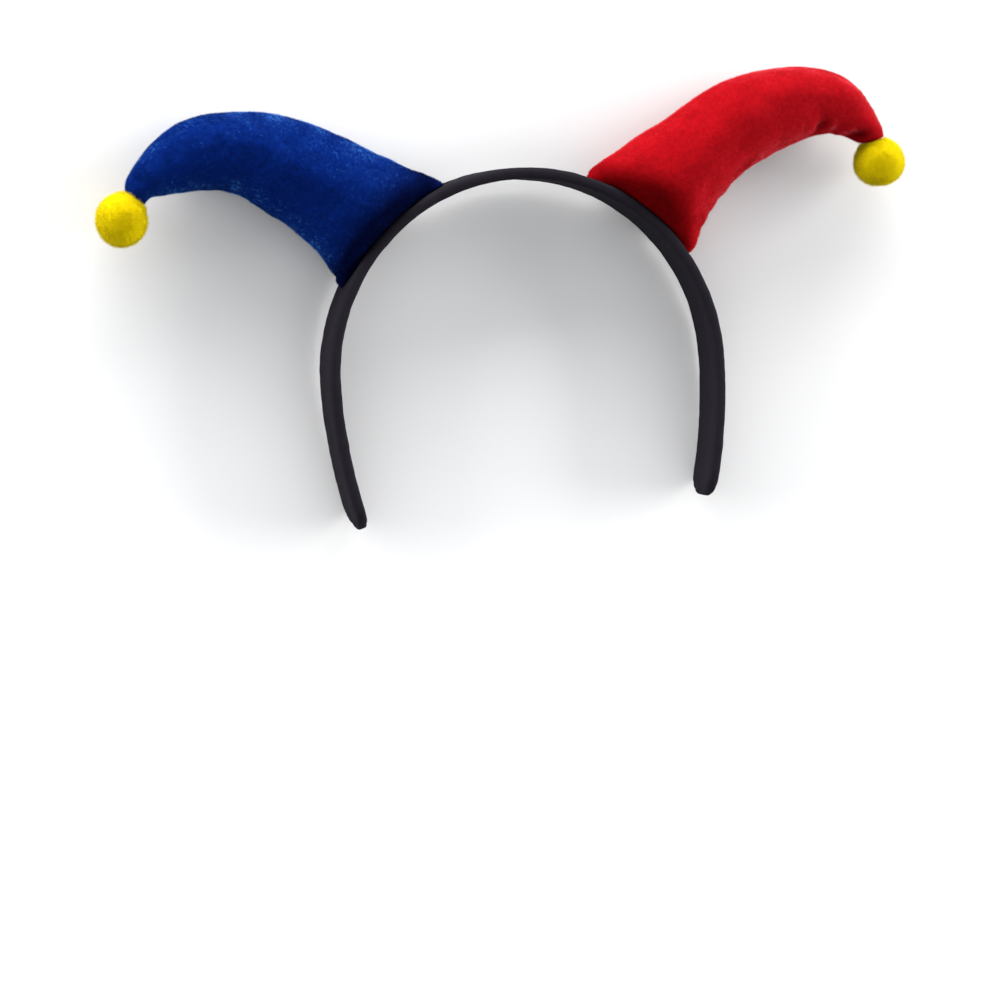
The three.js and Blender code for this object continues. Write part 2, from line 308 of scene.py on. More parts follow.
def round_the_horn(degrees, around):
    """Degrees between two places round a section, from -180 to 180."""
    return (degrees - around + 540) % 360 - 180


@dataclass(eq=False)
class Horn:
    """The shape of one horn, and places on it. Degrees go round a section: 0 is the upper seam, 90 the
    front, 180 the lower seam and 270 the back."""

    name: str
    side: int  # 1 where x is above 0, -1 where it is below
    length: float
    width: float
    angle: float  # degrees from the top of the crown
    sections: list
    dents: list
    creases: list
    pompom: float  # its diameter
    pompom_tall: float  # the share by which it is taller than round
    seat_shade: float  # degrees from the upper seam to where the painted shade on the pile at the seat is darkest
    seat_reach: float  # degrees over which that shade ends
    seat_least: float  # the share of its tone that painted shade takes from the pile at the seat all round
    uneven: float  # how rough the nap looks
    seed: int

    def __post_init__(self):
        self.columns = np.array(self.sections, float).T
        turn = math.radians(self.angle)
        self.out = np.array([self.side * math.sin(turn), math.cos(turn)])
        self.across = np.array([self.side * self.out[1], -self.side * self.out[0]])
        self.last = len(self.sections) - 1
        places = np.linspace(0, self.last, 40 * self.last + 1)
        steps = np.linalg.norm(np.diff(self.middle(places), axis=0), axis=1)
        self.places = places
        self.along = np.concatenate([[0], np.cumsum(steps)])
        self.total = self.along[-1]

    def middle(self, place):
        reach = self.length * between(self.columns[0], place)
        aside = self.length * between(self.columns[1], place)
        return self.out * (BAND_RADIUS + GAP + reach[:, None]) + self.across * aside[:, None]

    def heading(self, place):
        nudge = 0.01
        ahead = self.middle(np.minimum(place + nudge, self.last))
        way = unit(ahead - self.middle(np.maximum(place - nudge, 0)))
        wrap = self.wrap(place)[:, None]
        return unit(way * (1 - wrap) + self.out * wrap)

    def wrap(self, place):
        return np.maximum(between(self.columns[4], place), 0)

    def surface(self, share, degrees, inset):
        """Points on the horn's skin, in rows of the same share of its length."""
        place = np.interp(share * self.total, self.along, self.places)
        middle, heading = self.middle(place), self.heading(place)
        upper = np.stack([-self.side * heading[:, 1], self.side * heading[:, 0]], -1)
        half_width = (self.width / 2 * between(self.columns[2], place))[:, None] - inset
        half_depth = (HORN_DEPTH / 2 * between(self.columns[3], place))[:, None] - inset
        bend = math.asin(self.width / 2 / (BAND_RADIUS + GAP)) * self.wrap(place)
        size = self.dented(share[:, None], degrees[None, :])
        x = np.cos(np.radians(degrees)) * size
        bend = np.maximum(bend, 1e-6)[:, None]
        reach = np.sin(bend * x) / np.sin(bend)
        curl = np.tan(bend * np.abs(x) / 2)
        flat = (
            middle[:, None, :]
            + upper[:, None, :] * (half_width * reach)[..., None]
            - heading[:, None, :] * (half_width * np.abs(reach) * curl)[..., None]
        )
        depth = half_depth * np.sin(np.radians(degrees)) * size
        return above_surface(np.concatenate([flat, depth[..., None]], -1))

    def dented(self, share, degrees):
        """What is left of the section's size, with the dents pushed in."""
        left = 1.0
        for at, long, around, wide, sink in self.dents:
            near = ((share - at) / long) ** 2 + (round_the_horn(degrees, around) / wide) ** 2
            left = left - sink * np.exp(-near)
        return np.where(share > 0, left, 1.0)

    def tip(self):
        """The middle of the tip and the way it points."""
        end = np.array([float(self.last)])
        return np.append(self.middle(end)[0], 0.0), np.append(self.heading(end)[0], 0.0)


HORNS = [
    Horn(
        name="blue",
        side=-1,
        length=118.5,
        width=BLUE_WIDTH,
        angle=40.25,
        sections=BLUE_SECTIONS,
        dents=BLUE_DENTS,
        creases=BLUE_CREASES,
        pompom=22.4,
        pompom_tall=0.045,
        seat_shade=125,
        seat_reach=90,
        seat_least=0.3,
        uneven=1.15,
        seed=11,
    ),
    Horn(
        name="red",
        side=1,
        length=124.0,
        width=RED_WIDTH,
        angle=41.5,
        sections=RED_SECTIONS,
        dents=RED_DENTS,
        creases=RED_CREASES,
        pompom=21.5,
        pompom_tall=-0.04,
        seat_shade=85,
        seat_reach=44,
        seat_least=0.1,
        uneven=0.4,
        seed=23,
    ),
]


def grid_normals(grid):
    """Outward normals and the ways towards the tip, of a grid of rings."""
    tip_way = unit(np.gradient(grid, axis=0))
    round_way = np.roll(grid, -1, axis=1) - np.roll(grid, 1, axis=1)
    normals = unit(np.cross(round_way, tip_way))
    outward = np.sum(normals * (grid - grid.mean(1, keepdims=True)), -1).mean()
    return normals * np.sign(outward), tip_way


def refined(grid):
    """The grid with a smooth new ring and a smooth new side between each two."""
    before, after = grid[:-1], grid[1:]
    outer_before = np.concatenate([2 * grid[:1] - grid[1:2], grid[:-2]])
    outer_after = np.concatenate([grid[2:], 2 * grid[-1:] - grid[-2:-1]])
    middle = (9 * (before + after) - outer_before - outer_after) / 16
    rings = np.empty((2 * len(grid) - 1, *grid.shape[1:]))
    rings[::2], rings[1::2] = grid, middle
    sides = np.empty((len(rings), 2 * grid.shape[1], 3))
    sides[:, ::2] = rings
    near = rings + np.roll(rings, -1, axis=1)
    far = np.roll(rings, 1, axis=1) + np.roll(rings, -2, axis=1)
    sides[:, 1::2] = (9 * near - far) / 16
    return sides


def stuffed(grid):
    """The grid as the stuffing pushes it out between the seams, by a cloth simulation."""
    rings, corners = grid.shape[:2]
    mesh = bpy.data.meshes.new("stuffing")
    mesh.from_pydata((grid.reshape(-1, 3) * MM).tolist(), [], tube_faces(rings, corners).tolist())
    piece = bpy.data.objects.new("stuffing", mesh)
    bpy.context.scene.collection.objects.link(piece)
    share = np.linspace(0, 1, rings)[:, None]
    degrees = (np.arange(corners) * 360 / corners)[None, :]
    seam = np.maximum(
        np.exp(-((round_the_horn(degrees, 0) / 3) ** 2)), np.exp(-((round_the_horn(degrees, 180) / 3) ** 2))
    )
    ends = 1 - fade(share, 0, 0.03) * fade(1 - share, 0, 0.03)
    held = np.maximum(seam * 0.9, ends + 0 * degrees)
    group = piece.vertex_groups.new(name="held")
    for index, weight in enumerate(held.ravel()):
        group.add([index], float(weight), "REPLACE")
    cloth = piece.modifiers.new("Cloth", "CLOTH")
    settings = cloth.settings
    settings.quality = 6
    settings.mass = 0.25
    settings.tension_stiffness = 12
    settings.compression_stiffness = 12
    settings.shear_stiffness = 4
    settings.bending_stiffness = 0.5
    settings.use_pressure = True
    settings.uniform_pressure_force = 4
    settings.shrink_min = -0.02
    settings.vertex_group_mass = "held"
    settings.pin_stiffness = 1
    settings.effector_weights.gravity = 0
    cloth.collision_settings.use_collision = False
    scene = bpy.context.scene
    for number in range(1, STUFFING_FRAMES + 1):
        scene.frame_set(number)
    shown = piece.evaluated_get(bpy.context.evaluated_depsgraph_get())
    moved = np.empty(rings * corners * 3, np.float32)
    shown.data.vertices.foreach_get("co", moved)
    scene.frame_set(1)
    bpy.data.objects.remove(piece)
    normals, _ = grid_normals(grid)
    push = np.maximum(np.sum((moved.reshape(grid.shape) / MM - grid) * normals, -1, keepdims=True), 0)
    push = STUFFING_CAP * np.tanh(push / STUFFING_CAP) * (1 - fade(held, 0, 0.9)[..., None])
    return grid + normals * smoothed(push, 4)


def smoothed(grid, rounds):
    """The grid's values, evened out with their neighbours, with both ends as they were."""
    for _ in range(rounds):
        grid = (np.roll(grid, 1, axis=1) + 2 * grid + np.roll(grid, -1, axis=1)) / 4
        grid[1:-1] = (grid[:-2] + 2 * grid[1:-1] + grid[2:]) / 4
    return grid


def worked(horn, grid, share, degrees):
    """The skin with its seams, puckers, creases and the lumps of the stuffing, and the pile's painted shade.
    """
    normals, _ = grid_normals(grid)
    along = share[:, None] * horn.total
    degrees = degrees[None, :]
    free = fade(along, 0, 7) * fade(horn.total - along, 0, 4)
    girth = np.linalg.norm(grid - grid.mean(1, keepdims=True), axis=-1)
    rise = np.zeros(grid.shape[:2])
    ridge, ridge_off, ridge_width = SEAM_RIDGE
    for seam, inner in ((0, 0.35), (180, 1.0)):
        across = round_the_horn(degrees, seam)
        off = np.radians(np.abs(across)) * girth
        front = np.where(across * (1 if seam == 0 else -1) > 0, 1, 2)
        rise -= SEAM_DEPTH * np.exp(-((off / SEAM_WIDTH) ** 2))
        rise += ridge * np.exp(-(((off - ridge_off) / ridge_width) ** 2))
        for panel in (1, 2):
            seed = horn.seed + seam + panel
            shift = 0.9 * ripple(grid, 24, seed)
            wave = np.cos(2 * math.pi * along / PUCKER_PITCH + shift * 2.2)
            strength = 0.5 + 0.5 * np.tanh(ripple(grid, 26, seed + 40))
            curve = fade(along, 0.3 * horn.total, 0.62 * horn.total)
            reach = 4.5 + 2.5 * inner * curve
            pucker = inner * (0.06 + 0.12 * curve) * strength * wave * np.exp(-((off / reach) ** 2))
            rise += np.where(front == panel, pucker, 0) * fade(off, 0.4, 1.8)
    # Painted shade on the pile next to the band, darkest seat_shade degrees from the upper seam.
    from_top = np.abs(round_the_horn(degrees, 0))
    near = np.exp(-(((from_top - horn.seat_shade) / horn.seat_reach) ** 2))
    shade = horn.seat_least + (SEAT_DARKEST - horn.seat_least) * near
    seat_and_crease_shade = 1 - shade * (1 - fade(along, 0, SEAT_FADE))
    for at, around, reach, width, depth in horn.creases:
        slant = 0.05 * round_the_horn(degrees, around)
        off = (along - at * horn.total + slant) / width
        spread = np.exp(-((round_the_horn(degrees, around) / reach) ** 2))
        rise -= depth * spread * (np.exp(-(off**2)) - 0.4 * np.exp(-((np.abs(off) - 2) ** 2)))
        # Painted shade along the crease, more for a deeper one.
        seat_and_crease_shade *= 1 - min(0.6 * depth, 0.6) * spread * np.exp(-(off**2))
    rise += sum(height * ripple(grid, size, horn.seed + seed) for size, height, seed in LUMPS)
    return above_surface(grid + normals * (rise * free)[..., None]), seat_and_crease_shade


def horn_pieces(horn, plush, pile, seat_shade_pile):
    """The horn's backing, and the short pile that stands on it."""
    share = np.linspace(0, 1, RINGS)
    degrees = np.arange(SIDES) * 360 / SIDES
    along = (share * horn.total)[:, None]
    off_seam = np.abs(np.sin(np.radians(degrees)))[None, :]
    panel = fade(along, 2, 14) * fade(horn.total - along, 0, 10) * fade(off_seam, 0, 0.45)
    swell = STUFFING_SWELL
    inset = SKIN_INSET * fade(along, 0, 5) + swell * panel
    grid = horn.surface(share, degrees, inset)
    grid = stuffed(grid)
    grid = refined(grid)
    rings, corners = grid.shape[:2]
    share = np.linspace(0, 1, rings)
    degrees = np.arange(corners) * 360 / corners
    grid, seat_and_crease_shade = worked(horn, grid, share, degrees)
    normals, tip_way = grid_normals(grid)
    mottle = 0.03 * ripple(grid, 1.5, horn.seed + 3)
    outward = np.sum(np.cross(grid[1, 1] - grid[1, 0], grid[2, 0] - grid[1, 0]) * normals[1, 0]) > 0
    sides = tube_faces(rings, corners)
    near_lid = lid_faces(0, corners, outward)
    far_lid = lid_faces((rings - 1) * corners, corners, not outward)
    sides = sides if outward else sides[:, ::-1]
    # The backing, seen between the hairs, is painted darker than their ends as painted shade, with random
    # mottle and the painted shade of the seat and creases.
    skin = mesh_piece(
        f"horn_{horn.name}_plush",
        grid.reshape(-1, 3),
        [np.concatenate([sides, near_lid[0], far_lid[0]]), np.concatenate([near_lid[1], far_lid[1]])],
        plush,
        shade=(0.72 + mottle) * seat_and_crease_shade,
    )
    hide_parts(f"horn_{horn.name}")
    nap = pile_piece(horn, grid, normals, tip_way, seat_and_crease_shade, pile, seat_shade_pile)


def on_grid(grid, ring, side, down, over):
    """Values between the grid's points, at a share down and over from a ring and a side."""
    after = (side + 1) % grid.shape[1]
    down, over = down[:, None], over[:, None]
    upper = grid[ring, side] * (1 - over) + grid[ring, after] * over
    lower = grid[ring + 1, side] * (1 - over) + grid[ring + 1, after] * over
    return upper * (1 - down) + lower * down


def pile_piece(horn, grid, normals, tip_way, seat_and_crease_shade, material, seat_shade_material):
    """Short hairs all over the skin, brushed towards the tip, one narrow blade each. Next to the band most
    have no sheen, as painted shade there."""
    draw = np.random.default_rng(horn.seed + 50)
    rings, corners = grid.shape[:2]
    along = np.linspace(0, horn.total, rings)[:, None, None] * np.ones((1, corners, 1))
    edge_down = grid[1:] - grid[:-1]
    edge_over = (np.roll(grid, -1, axis=1) - grid)[:-1]
    areas = np.linalg.norm(np.cross(edge_down, edge_over), axis=-1).ravel()
    cells = np.searchsorted(np.cumsum(areas) / areas.sum(), draw.uniform(0, 1, PILE_COUNT))
    cells = np.minimum(cells, len(areas) - 1)
    ring, side = cells // corners, cells % corners
    down, over = draw.uniform(0, 1, PILE_COUNT), draw.uniform(0, 1, PILE_COUNT)
    root = on_grid(grid, ring, side, down, over)
    normal = unit(on_grid(normals, ring, side, down, over))
    way = unit(on_grid(tip_way, ring, side, down, over))
    crossing = np.cross(normal, way)
    brushed = 0.25 * ripple(root, 12, horn.seed + 60) + 0.15 * ripple(root, 3, horn.seed + 61)
    turn = (brushed + draw.normal(0, PILE_STRAY, PILE_COUNT))[:, None]
    comb = way * np.cos(turn) + crossing * np.sin(turn)
    lean = PILE_LEAN + 2 * ripple(root, 5, horn.seed + 62) + draw.normal(0, PILE_LEAN_SPREAD, PILE_COUNT)
    lean = np.radians(lean)[:, None]
    axis = normal * np.cos(lean) + comb * np.sin(lean)
    length = PILE_LENGTH * draw.uniform(0.7, 1.15, PILE_COUNT)[:, None]
    breadth = PILE_WIDTH * draw.uniform(0.7, 1.2, PILE_COUNT)[:, None]
    across = unit(np.cross(axis, normal)) * breadth / 2
    root = root - normal * PILE_ROOT_DEPTH
    top = root + axis * length
    points = np.stack([root - across, root + across, top], 1)
    tip_middle, tip_heading = horn.tip()
    past = np.maximum((points - tip_middle) @ tip_heading - 0.1, 0)
    past *= on_grid(along, ring, side, down, over) > horn.total - 8
    points = points - past[..., None] * tip_heading
    points = above_surface(points, 0.02)
    tilt = draw.normal(0, 0.06 * horn.uneven, (PILE_COUNT, 3))
    for size, strength, seed in NAP:
        ripples = [ripple(root, size, horn.seed + seed + i) for i in range(3)]
        tilt += strength * horn.uneven * np.stack(ripples, -1)
    shading = unit(normal + 0.1 * (axis - normal) + tilt)
    tone = draw.normal(0, 0.05, PILE_COUNT) + 0.07 * ripple(root, 1.5, horn.seed + 3)
    tone = 0.95 + horn.uneven * tone
    # The painted shade of the seat and the creases, as on the backing.
    tone *= on_grid(seat_and_crease_shade[..., None], ring, side, down, over)[:, 0]
    # Painted shade at each hair's root and painted light on its end.
    shade = np.stack([tone * 0.6, tone * 0.6, tone * 1.15], 1)
    # Near the band most blades take the pile without sheen: painted shade there.
    seat_shade_blades = draw.uniform(0, 1, PILE_COUNT) > fade(on_grid(along, ring, side, down, over), 3, 15)[:, 0]
    order = np.arange(3 * PILE_COUNT).reshape(-1, 3)
    face_normal = np.cross(points[:, 1] - points[:, 0], points[:, 2] - points[:, 0])
    inward = np.sum(face_normal * normal, -1) < 0
    order[inward] = order[inward][:, ::-1]
    return mesh_piece(
        f"horn_{horn.name}_pile",
        points.reshape(-1, 3),
        [order],
        material,
        normals=np.repeat(shading, 3, axis=0),
        shade=shade,
        second=(seat_shade_material, seat_shade_blades),
    )


def sphere_ways(count):
    """Ways spread evenly over a ball, along a spiral by the golden angle."""
    i = np.arange(count)
    height = 1 - (2 * i + 1) / count
    ring = np.sqrt(1 - height * height)
    turn = i * math.pi * (3 - math.sqrt(5))
    return np.stack([ring * np.cos(turn), ring * np.sin(turn), height], -1)


def tuft_rise(ways):
    """From 0 between the pompom's tufts to 1 on the middle of one."""
    nearest = np.clip((ways @ sphere_ways(TUFT_COUNT).T).max(1), -1, 1)
    return 1 - fade(np.degrees(np.arccos(nearest)), 2, 17)


def pompom_piece(horn, yarn):
    """A ball of yarn ends: a dense core, with fibres that stand out all over it and close round the tip."""
    draw = np.random.default_rng(horn.seed + 80)
    radius = horn.pompom / 2
    tip_middle, heading = horn.tip()
    seat = math.sqrt(radius**2 - (TIP_WIDTH / 2) ** 2)
    centre = tip_middle + heading * (seat + GAP)

    bpy.ops.mesh.primitive_ico_sphere_add(subdivisions=5, radius=1)
    ball = bpy.context.object
    core_way = np.array([vertex.co for vertex in ball.data.vertices])
    core_faces = np.array([face.vertices for face in ball.data.polygons])
    bpy.data.objects.remove(ball)
    core_way = unit(core_way)

    def form(ways):
        lumps = 0.02 * ripple(ways * radius, 12, horn.seed + 81)
        lumps += 0.005 * ripple(ways * radius, 4, horn.seed + 82)
        tall = horn.pompom_tall * (ways[:, 1] ** 2 - ways[:, 0] ** 2)
        return 1.0 + 0.006 * tuft_rise(ways) + lumps + tall

    core_radius = radius * (form(core_way) - CORE_DEPTH) + 0.05 * ripple(core_way * radius, 1.2, 3)
    core = core_way * core_radius[:, None]
    # The core, seen between the fibres, is painted darker: painted shade.
    core_shade = 0.8 + 0.05 * ripple(core_way * radius, 1.5, horn.seed + 83)

    way = unit(sphere_ways(FIBRE_COUNT) + draw.normal(0, 0.012, (FIBRE_COUNT, 3)))
    lean = unit(way + draw.normal(0, 0.4, (FIBRE_COUNT, 3)))
    root = way * radius * FIBRE_ROOT
    reach = form(way) - (1 - FIBRE_REACH) + np.minimum(draw.exponential(0.036, FIBRE_COUNT), 0.12)
    from_tip = np.degrees(np.arccos(np.clip(way @ -heading, -1, 1)))
    rim = math.degrees(math.asin(TIP_WIDTH / 2 / radius))
    reach += 0.06 * np.exp(-(((from_tip - rim - 4) / 7) ** 2))
    top = unit(way + 0.2 * lean) * (radius * reach)[:, None]
    sideways = unit(np.cross(way, draw.normal(size=(FIBRE_COUNT, 3))))
    other = np.cross(way, sideways)
    breadth = FIBRE_WIDTH / 2 * draw.uniform(0.7, 1.2, (FIBRE_COUNT, 1))
    ring = [
        root + breadth * (sideways * math.cos(angle) + other * math.sin(angle))
        for angle in (0, 2 * math.pi / 3, 4 * math.pi / 3)
    ]
    fibres = np.stack([*ring, top], 1).reshape(-1, 3)
    first = np.arange(FIBRE_COUNT)[:, None] * 4 + len(core)
    fibre_faces = np.concatenate([first + [0, 1, 3], first + [1, 2, 3], first + [2, 0, 3]])
    tone = 0.95 + 0.04 * ripple(way * radius, 1.6, horn.seed + 83) + draw.normal(0, 0.04, FIBRE_COUNT)
    # Each fibre is painted darker at its root and lighter at its end: painted shade and painted light.
    fibre_shade = np.stack([tone * 0.75, tone * 0.75, tone * 0.75, tone * 1.05], 1).ravel()
    facing = unit(way + draw.normal(0, FIBRE_TURN, (FIBRE_COUNT, 3)))
    sides = [unit(0.7 * facing + (corner - root) / breadth) for corner in ring]
    fibre_normals = np.stack([*sides, unit(facing)], 1).reshape(-1, 3)

    points = np.concatenate([core, fibres])
    aside = np.linalg.norm(points + (points @ -heading)[:, None] * heading, axis=1)
    on_tip = 1 - fade(aside, TIP_WIDTH / 2 - 0.4, TIP_WIDTH / 2 + 0.4)
    past = np.maximum(points @ -heading - seat, 0) * on_tip
    points = centre + points + past[:, None] * heading
    piece = mesh_piece(
        f"pompom_{horn.name}",
        above_surface(points),
        [np.concatenate([core_faces, fibre_faces])],
        yarn,
        normals=np.concatenate([core_way, fibre_normals]),
        shade=np.concatenate([core_shade, fibre_shade]),
    )
    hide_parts(f"pompom_{horn.name}_tip")


def band_section(thickness, width):
    """Rounded strip sections as outward and forward offsets."""
    edge = np.minimum(BAND_EDGE, 0.45 * thickness)
    outward, forward = [], []
    corners = ((1, 1, 0, 2), (-1, 1, 90, FACE_STEPS), (-1, -1, 180, 2), (1, -1, 270, FACE_STEPS))
    for index, (out_side, front_side, start, steps) in enumerate(corners):
        for i in range(CORNER_STEPS + 1):
            angle = math.radians(start + 90 * i / CORNER_STEPS)
            outward.append(out_side * (thickness / 2 - edge) + edge * math.cos(angle))
            forward.append(front_side * (width / 2 - edge) + edge * math.sin(angle))
        next_out, next_front, next_start, _ = corners[(index + 1) % 4]
        angle = math.radians(next_start)
        end = (
            next_out * (thickness / 2 - edge) + edge * math.cos(angle),
            next_front * (width / 2 - edge) + edge * math.sin(angle),
        )
        for i in range(1, steps):
            outward.append(outward[-1] + (end[0] - outward[-1]) / (steps - i + 1))
            forward.append(forward[-1] + (end[1] - forward[-1]) / (steps - i + 1))
    return np.stack(outward, -1), np.stack(forward, -1)


def band_grid():
    """Points of the band's cloth, in rings from one free end to the other, with their distances along."""
    full = QUARTER_ARC + LEG_LENGTH
    straight = full - END_RADIUS
    steps = int(2 * straight / BAND_STEP)
    ends = END_RADIUS * np.sin(np.linspace(0, math.pi / 2, END_STEPS + 1)[1:])
    inside = np.linspace(-straight, straight, steps)
    distance = np.concatenate([-(straight + ends)[::-1], inside, straight + ends])
    side = np.sign(distance)
    turn = np.maximum(np.abs(distance) - QUARTER_ARC, 0) / LEG_RADIUS
    crown = np.abs(distance) <= QUARTER_ARC
    angle = distance / MIDDLE_RADIUS
    out = np.where(
        crown[:, None],
        np.stack([np.sin(angle), np.cos(angle)], -1),
        np.stack([side * np.cos(turn), -np.sin(turn)], -1),
    )
    leg_middle = out * LEG_RADIUS + np.stack([side * (MIDDLE_RADIUS - LEG_RADIUS), 0 * side], -1)
    middle = np.where(crown[:, None], out * MIDDLE_RADIUS, leg_middle)
    left = np.clip((full - np.abs(distance)) / END_RADIUS, 0, 1)
    thickness = BAND_THICKNESS * (1 - END_THINNING * (1 - left) ** 3)
    width = BAND_WIDTH - 2 * END_RADIUS * (1 - np.sqrt(np.maximum(1 - (1 - left) ** 2, 0)))
    outward, forward = band_section(thickness, width)
    flat = middle[:, None, :] + out[:, None, :] * outward[..., None]
    return np.concatenate([flat, forward[..., None]], -1), distance, outward, forward, left


def band_piece(cloth):
    grid, distance, outward, forward, left = band_grid()
    rings, corners = grid.shape[:2]
    normals, _ = grid_normals(grid)
    section = np.linalg.norm(np.diff(grid, axis=1, append=grid[:, :1]), axis=-1)
    round_it = np.cumsum(section, axis=1) - section
    inner = fade(-outward, 0.5, 2.0)
    free = fade(left[:, None], 0.05, 0.9)
    along = distance[:, None] + 0 * round_it
    spot = np.stack([along, round_it, 0 * along], -1)
    rise = -0.06 + 0.05 * ripple(spot * [1, 1.2, 1], 16, 5)
    rise += 0.05 * ripple(spot * [1, 0.16, 1], 5, 6) * fade(np.abs(forward), 7, 12)
    lap = forward - 2.2 - 0.5 * np.sin(along / 17)
    rise += inner * free * (0.1 * (1 - fade(lap, -0.35, 0.35)) - 0.1 * np.exp(-((lap / 0.4) ** 2)))
    pleat = np.cos(round_it * 2 * math.pi / 2.9 + 2 * ripple(spot, 9, 7))
    rise += 0.16 * pleat * (1 - fade(left[:, None], 0.25, 1.1)) * fade(left[:, None], 0.0, 0.2)
    points = above_surface(grid + normals * rise[..., None], 0.0)
    ends = points[[0, -1]].mean(1)
    everything = np.concatenate([points.reshape(-1, 3), ends])
    i = np.arange(corners)
    after = (i + 1) % corners
    last = (rings - 1) * corners
    near = np.stack([after, i, np.full(corners, rings * corners)], -1)
    far = np.stack([last + i, last + after, np.full(corners, rings * corners + 1)], -1)
    tube = tube_faces(rings, corners)
    outside = np.sum(np.cross(grid[9, 1] - grid[9, 0], grid[10, 0] - grid[9, 0]) * normals[9, 0]) > 0
    turn = slice(None) if outside else slice(None, None, -1)
    uvs = np.concatenate([np.stack([along, round_it], -1).reshape(-1, 2), np.zeros((2, 2))])
    piece = mesh_piece(
        "band_cloth",
        everything,
        [tube[:, turn], np.concatenate([near, far])[:, turn]],
        cloth,
        uvs=uvs,
    )
    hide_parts("band")


class Nodes:
    """Makes a material's nodes and their links."""

    def __init__(self, name):
        self.material = bpy.data.materials.new(name)
        self.material.use_nodes = True
        self.tree = self.material.node_tree
        self.shader = self.tree.nodes["Principled BSDF"]

    def add(self, kind, inputs=(), **values):
        """A node with its properties set. inputs pairs a socket with a number, a colour or an output."""
        node = self.tree.nodes.new(kind)
        for key, value in values.items():
            setattr(node, key, value)
        for socket, value in dict(inputs).items():
            self.put(node.inputs[socket], value)
        return node

    def put(self, socket, value):
        if isinstance(value, bpy.types.NodeSocket):
            self.tree.links.new(value, socket)
        else:
            socket.default_value = value

    def set(self, **values):
        """Sets the shader's sockets. A name has _ where the socket's has a space."""
        for key, value in values.items():
            self.put(self.shader.inputs[key.replace("_", " ")], value)

    def spots(self, size, detail=2.0, rough=0.5):
        """Noise of about that size in mm over the object, from 0 to 1."""
        place = self.add("ShaderNodeTexCoord").outputs["Object"]
        noise = self.add(
            "ShaderNodeTexNoise",
            {"Vector": place, "Scale": 0.5 / (size * MM), "Detail": detail, "Roughness": rough},
        )
        return noise.outputs["Fac"]

    def ranged(self, value, low, high):
        node = self.add("ShaderNodeMapRange", {"Value": value, "To Min": low, "To Max": high})
        return node.outputs["Result"]

    def times(self, first, second):
        return self.add("ShaderNodeMath", {0: first, 1: second}, operation="MULTIPLY").outputs[0]

    def blend(self, amount, first, second):
        node = self.add("ShaderNodeMix", data_type="RGBA")
        self.put(node.inputs["Factor"], amount)
        self.put(node.inputs[6], first)
        self.put(node.inputs[7], second)
        return node.outputs[2]

    def bump(self, height, distance, strength=1.0):
        node = self.add(
            "ShaderNodeBump", {"Height": height, "Distance": distance * MM, "Strength": strength}
        )
        self.put(self.shader.inputs["Normal"], node.outputs["Normal"])


def colour(red, green, blue):
    return (red, green, blue, 1.0)


def plush_material(name, deep, lit, sheen, veil, bumpy):
    """Short pile: a deep tone between the hairs and a lit one on their ends, as painted shade and painted
    light mixed with random tone, and a soft sheen.
    """
    nodes = Nodes(name)
    shade = nodes.add("ShaderNodeAttribute", attribute_name="shade").outputs["Fac"]
    grain = nodes.ranged(nodes.spots(1.0), 0.85, 1.15)
    patches = nodes.ranged(nodes.spots(14), 0.96, 1.04)
    amount = nodes.times(nodes.times(shade, grain), patches)
    nodes.set(
        Base_Color=nodes.blend(nodes.ranged(amount, -0.35, 0.85), deep, lit),
        Roughness=0.92,
        Sheen_Weight=veil,
        Sheen_Roughness=0.4,
        Sheen_Tint=sheen,
        Specular_IOR_Level=0.015,
    )
    if bumpy:
        nodes.bump(nodes.spots(0.5, detail=3), 0.25, 0.8)
    return nodes.material


def yarn_material():
    nodes = Nodes("yellow_yarn")
    shade = nodes.add("ShaderNodeAttribute", attribute_name="shade").outputs["Fac"]
    grain = nodes.ranged(nodes.spots(0.9), 0.92, 1.08)
    amount = nodes.ranged(nodes.times(shade, grain), 0.0, 1.0)
    # The yarn's two colours are a shaded and a lit copy of its yellow, mixed by painted shade and painted
    # light besides random tone.
    nodes.set(
        Base_Color=nodes.blend(amount, colour(0.46, 0.335, 0.0), colour(0.65, 0.505, 0.001)),
        Roughness=0.95,
        Sheen_Weight=0.2,
        Sheen_Roughness=0.6,
        Sheen_Tint=colour(1.0, 0.9, 0.05),
        Specular_IOR_Level=0.02,
    )
    return nodes.material


def cloth_material():
    """Black woven cloth. Its threads follow the distances along and round the band."""
    nodes = Nodes("black_cloth")
    place = nodes.add("ShaderNodeUVMap", uv_map="cloth").outputs["UV"]
    threads = []
    for direction in ("X", "Y"):
        wave = nodes.add(
            "ShaderNodeTexWave",
            {
                "Vector": place,
                "Scale": 0.314 / WEAVE_PITCH,
                "Distortion": 0.35,
                "Detail": 1.0,
                "Detail Scale": 3.0,
            },
            wave_type="BANDS",
            bands_direction=direction,
            wave_profile="SIN",
        )
        threads.append(wave.outputs["Fac"])
    weave = nodes.add("ShaderNodeMath", {0: threads[0], 1: threads[1]}, operation="MAXIMUM").outputs[0]
    wear = nodes.spots(14)
    shares = {0: nodes.times(weave, 0.6), 1: nodes.times(wear, 0.7)}
    tone = nodes.add("ShaderNodeMath", shares, operation="ADD").outputs[0]
    nodes.set(
        Base_Color=nodes.blend(tone, colour(0.004, 0.0035, 0.005), colour(0.011, 0.0095, 0.0135)),
        Roughness=nodes.ranged(wear, 0.75, 0.9),
        Specular_IOR_Level=0.035,
    )
    nodes.bump(weave, 0.09, 0.7)
    return nodes.material


